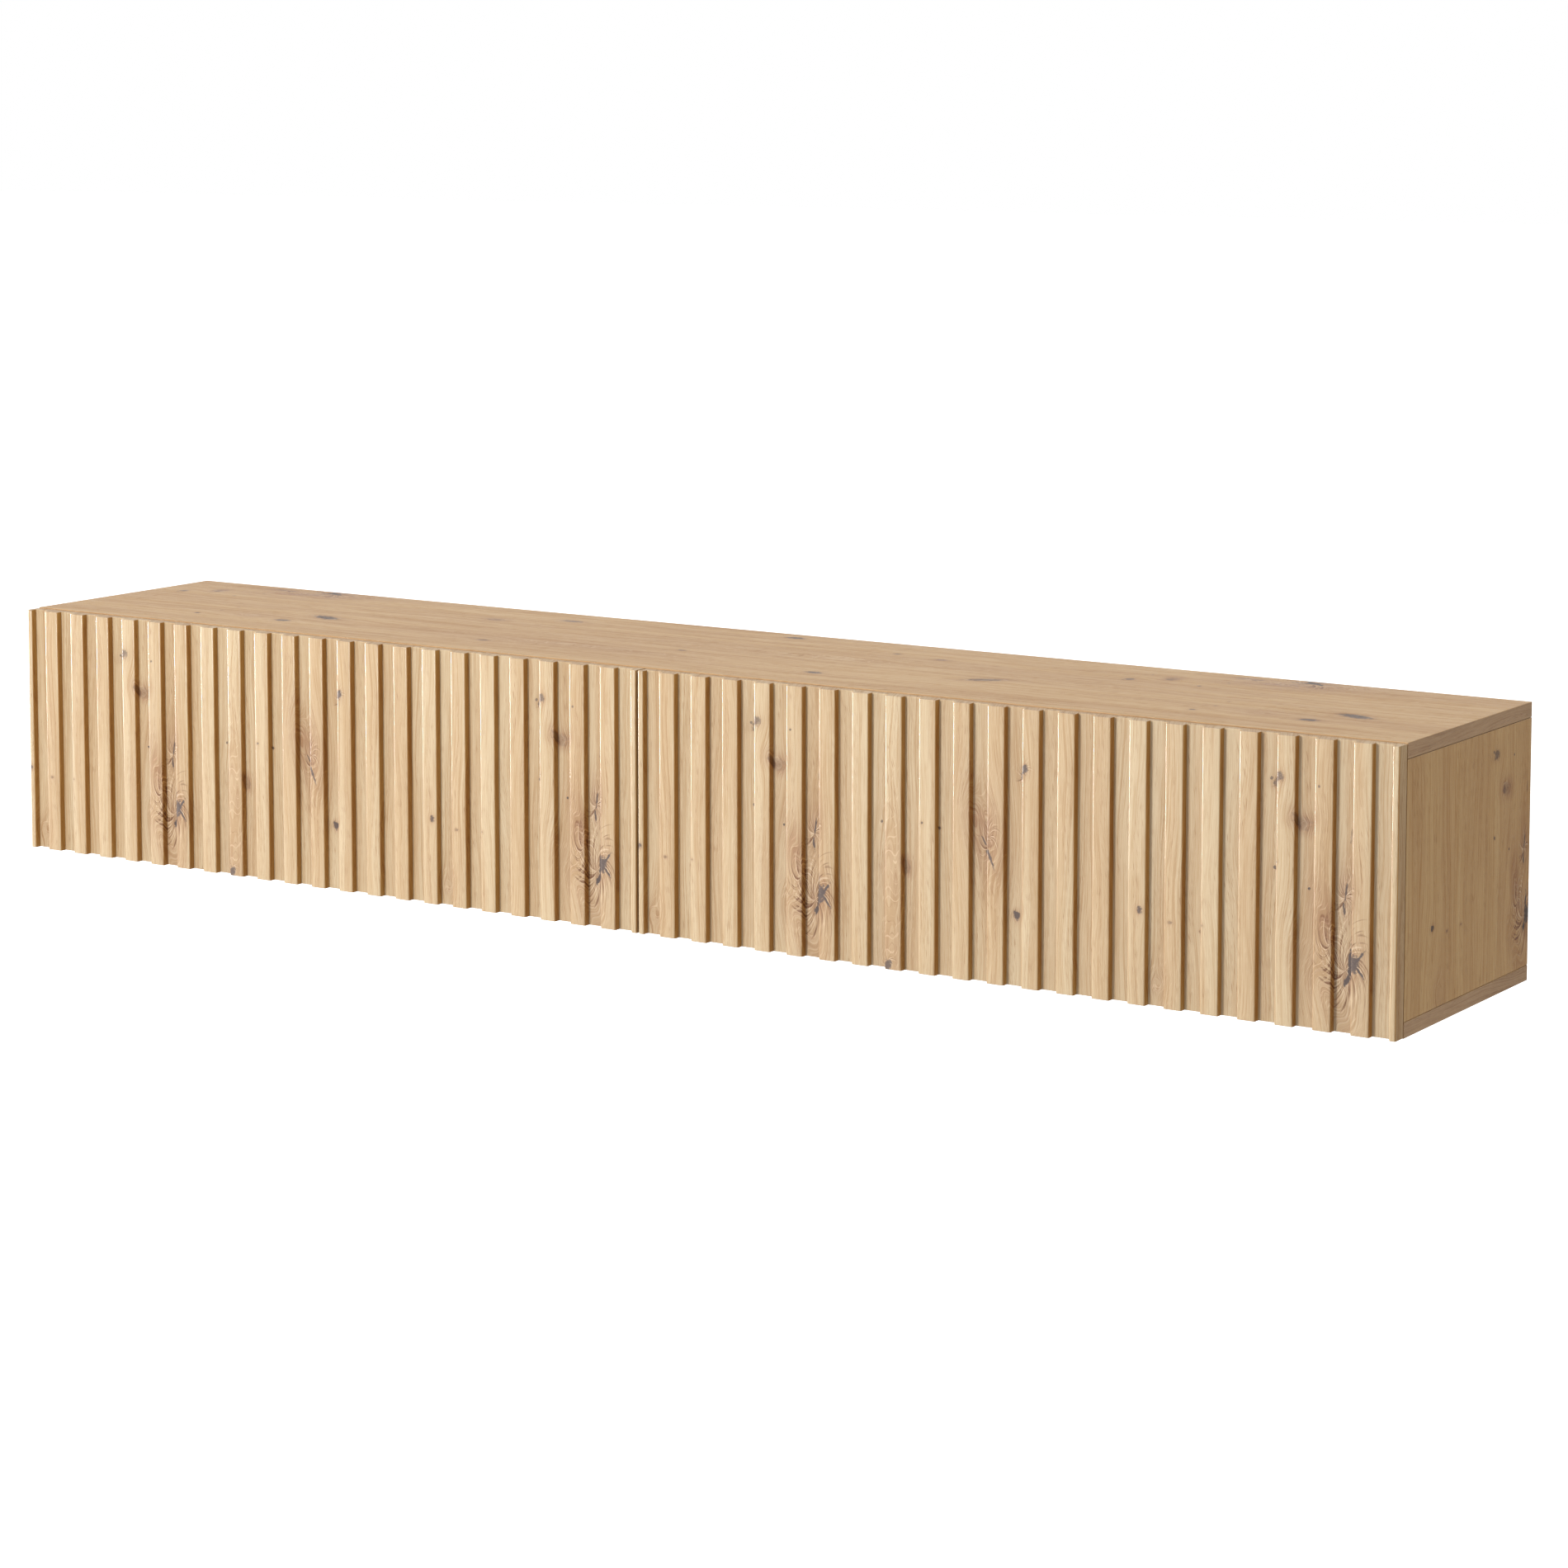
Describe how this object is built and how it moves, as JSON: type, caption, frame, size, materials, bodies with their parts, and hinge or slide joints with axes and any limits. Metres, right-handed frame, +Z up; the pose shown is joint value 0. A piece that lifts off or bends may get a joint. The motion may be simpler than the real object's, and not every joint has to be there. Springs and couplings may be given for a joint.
{
  "type": "media cabinet",
  "caption": "Long low wall-hung media cabinet in light oak decor, with vertically ribbed drop-down flaps over divided compartments.",
  "frame": {"origin": "middle of the cabinet's wall side, on the centre divider's rear edge", "axes": "+X along the cabinet to its right-hand end as seen from the front, +Y towards the wall, +Z up; the flaps face -Y"},
  "size_m": [1.8, 0.325, 0.292],
  "materials": {
    "oak_decor_front": "foil-wrapped oak decor on ribbed fibreboard, satin",
    "oak_decor_board": "laminated oak decor on chipboard, satin",
    "back_fibreboard": "lacquered thin fibreboard",
    "zinc_fitting": "nickel-plated die-cast zinc",
    "steel": "bright zinc-plated steel",
    "grey_plastic": "moulded grey plastic"
  },
  "bodies": {
    "root": {"bottom_panel": "oak_decor_board", "top_panel": "oak_decor_board", "left_side_panel": "oak_decor_board", "right_side_panel": "oak_decor_board", "centre_divider": "oak_decor_board", "left_back_panel": "back_fibreboard", "left_outer_hinge_arm": "steel", "left_outer_hinge_plate": "zinc_fitting", "left_inner_hinge_arm": "steel", "left_inner_hinge_plate": "zinc_fitting", "left_stay_base": "zinc_fitting", "left_latch_housing": "grey_plastic", "left_hanger_housing": "zinc_fitting", "right_back_panel": "back_fibreboard", "right_outer_hinge_arm": "steel", "right_outer_hinge_plate": "zinc_fitting", "right_inner_hinge_arm": "steel", "right_inner_hinge_plate": "zinc_fitting", "right_stay_base": "zinc_fitting", "right_latch_housing": "grey_plastic", "right_hanger_housing": "zinc_fitting", "left_top_front_cam_connector": "zinc_fitting", "left_top_rear_cam_connector": "zinc_fitting", "left_bottom_front_cam_connector": "zinc_fitting", "left_bottom_rear_cam_connector": "zinc_fitting", "centre_top_front_cam_connector": "zinc_fitting", "centre_top_rear_cam_connector": "zinc_fitting", "centre_bottom_front_cam_connector": "zinc_fitting", "centre_bottom_rear_cam_connector": "zinc_fitting", "right_top_front_cam_connector": "zinc_fitting", "right_top_rear_cam_connector": "zinc_fitting", "right_bottom_front_cam_connector": "zinc_fitting", "right_bottom_rear_cam_connector": "zinc_fitting"},
    "left_flap": {"left_flap": "oak_decor_front", "left_outer_hinge_cup": "zinc_fitting", "left_outer_hinge_pin": "steel", "left_inner_hinge_cup": "zinc_fitting", "left_inner_hinge_pin": "steel", "left_stay_bracket": "zinc_fitting", "left_strike_plate": "steel"},
    "left_stay_block": {"left_stay_block": "grey_plastic"},
    "left_stay_rod": {"left_stay_rod": "steel"},
    "left_latch_plunger": {"left_latch_plunger": "grey_plastic"},
    "left_hanger_hook": {"left_hanger_hook": "steel", "left_wall_plate": "steel"},
    "left_hanger_screw": {"left_hanger_screw": "steel"},
    "right_flap": {"right_flap": "oak_decor_front", "right_outer_hinge_cup": "zinc_fitting", "right_outer_hinge_pin": "steel", "right_inner_hinge_cup": "zinc_fitting", "right_inner_hinge_pin": "steel", "right_stay_bracket": "zinc_fitting", "right_strike_plate": "steel"},
    "right_stay_block": {"right_stay_block": "grey_plastic"},
    "right_stay_rod": {"right_stay_rod": "steel"},
    "right_latch_plunger": {"right_latch_plunger": "grey_plastic"},
    "right_hanger_hook": {"right_hanger_hook": "steel", "right_wall_plate": "steel"},
    "right_hanger_screw": {"right_hanger_screw": "steel"}
  },
  "joints": [
    {"name": "left_flap_hinge", "type": "hinge", "parent": "root", "child": "left_flap", "pos_m": [-0.45075, -0.3165, -0.13945], "axis": [1, 0, 0], "range_deg": [0, 90]},
    {"name": "left_stay_block_pivot", "type": "hinge", "parent": "root", "child": "left_stay_block", "pos_m": [-0.8685, -0.2515, -0.02687], "axis": [1, 0, 0], "range_deg": [0, 45]},
    {"name": "left_stay_rod_pivot", "type": "hinge", "parent": "left_flap", "child": "left_stay_rod", "pos_m": [-0.8685, -0.293, -0.0116], "axis": [1, 0, 0], "range_deg": [-45, 0]},
    {"name": "left_latch_plunger_slide", "type": "slide", "parent": "root", "child": "left_latch_plunger", "axis": [0, -1, 0], "range_m": [0, 0.02]},
    {"name": "left_hanger_screw_turn", "type": "hinge", "parent": "root", "child": "left_hanger_screw", "pos_m": [-0.8717, -0.062, 0.101], "axis": [0, 1, 0], "range_deg": [-1440, 2160]},
    {"name": "left_hanger_hook_slide", "type": "slide", "parent": "root", "child": "left_hanger_hook", "axis": [0, 0, 1], "range_m": [-0.004, 0.006]},
    {"name": "right_flap_hinge", "type": "hinge", "parent": "root", "child": "right_flap", "pos_m": [0.45075, -0.3165, -0.13945], "axis": [1, 0, 0], "range_deg": [0, 90]},
    {"name": "right_stay_block_pivot", "type": "hinge", "parent": "root", "child": "right_stay_block", "pos_m": [0.8685, -0.2515, -0.02687], "axis": [1, 0, 0], "range_deg": [0, 45]},
    {"name": "right_stay_rod_pivot", "type": "hinge", "parent": "right_flap", "child": "right_stay_rod", "pos_m": [0.8685, -0.293, -0.0116], "axis": [1, 0, 0], "range_deg": [-45, 0]},
    {"name": "right_latch_plunger_slide", "type": "slide", "parent": "root", "child": "right_latch_plunger", "axis": [0, -1, 0], "range_m": [0, 0.02]},
    {"name": "right_hanger_screw_turn", "type": "hinge", "parent": "root", "child": "right_hanger_screw", "pos_m": [0.8717, -0.062, 0.101], "axis": [0, 1, 0], "range_deg": [-1440, 2160]},
    {"name": "right_hanger_hook_slide", "type": "slide", "parent": "root", "child": "right_hanger_hook", "axis": [0, 0, 1], "range_m": [-0.004, 0.006]}
  ],
  "couplings": [
    {"joint": "left_stay_block_pivot", "follows": "left_flap_hinge", "ratio": 0.5},
    {"joint": "left_stay_rod_pivot", "follows": "left_flap_hinge", "ratio": -0.5},
    {"joint": "left_latch_plunger_slide", "follows": "left_flap_hinge", "m_per_rad": 0.0127},
    {"joint": "left_hanger_screw_turn", "follows": "left_hanger_hook_slide", "rad_per_m": 6283},
    {"joint": "right_stay_block_pivot", "follows": "right_flap_hinge", "ratio": 0.5},
    {"joint": "right_stay_rod_pivot", "follows": "right_flap_hinge", "ratio": -0.5},
    {"joint": "right_latch_plunger_slide", "follows": "right_flap_hinge", "m_per_rad": 0.0127},
    {"joint": "right_hanger_screw_turn", "follows": "right_hanger_hook_slide", "rad_per_m": 6283}
  ]
}
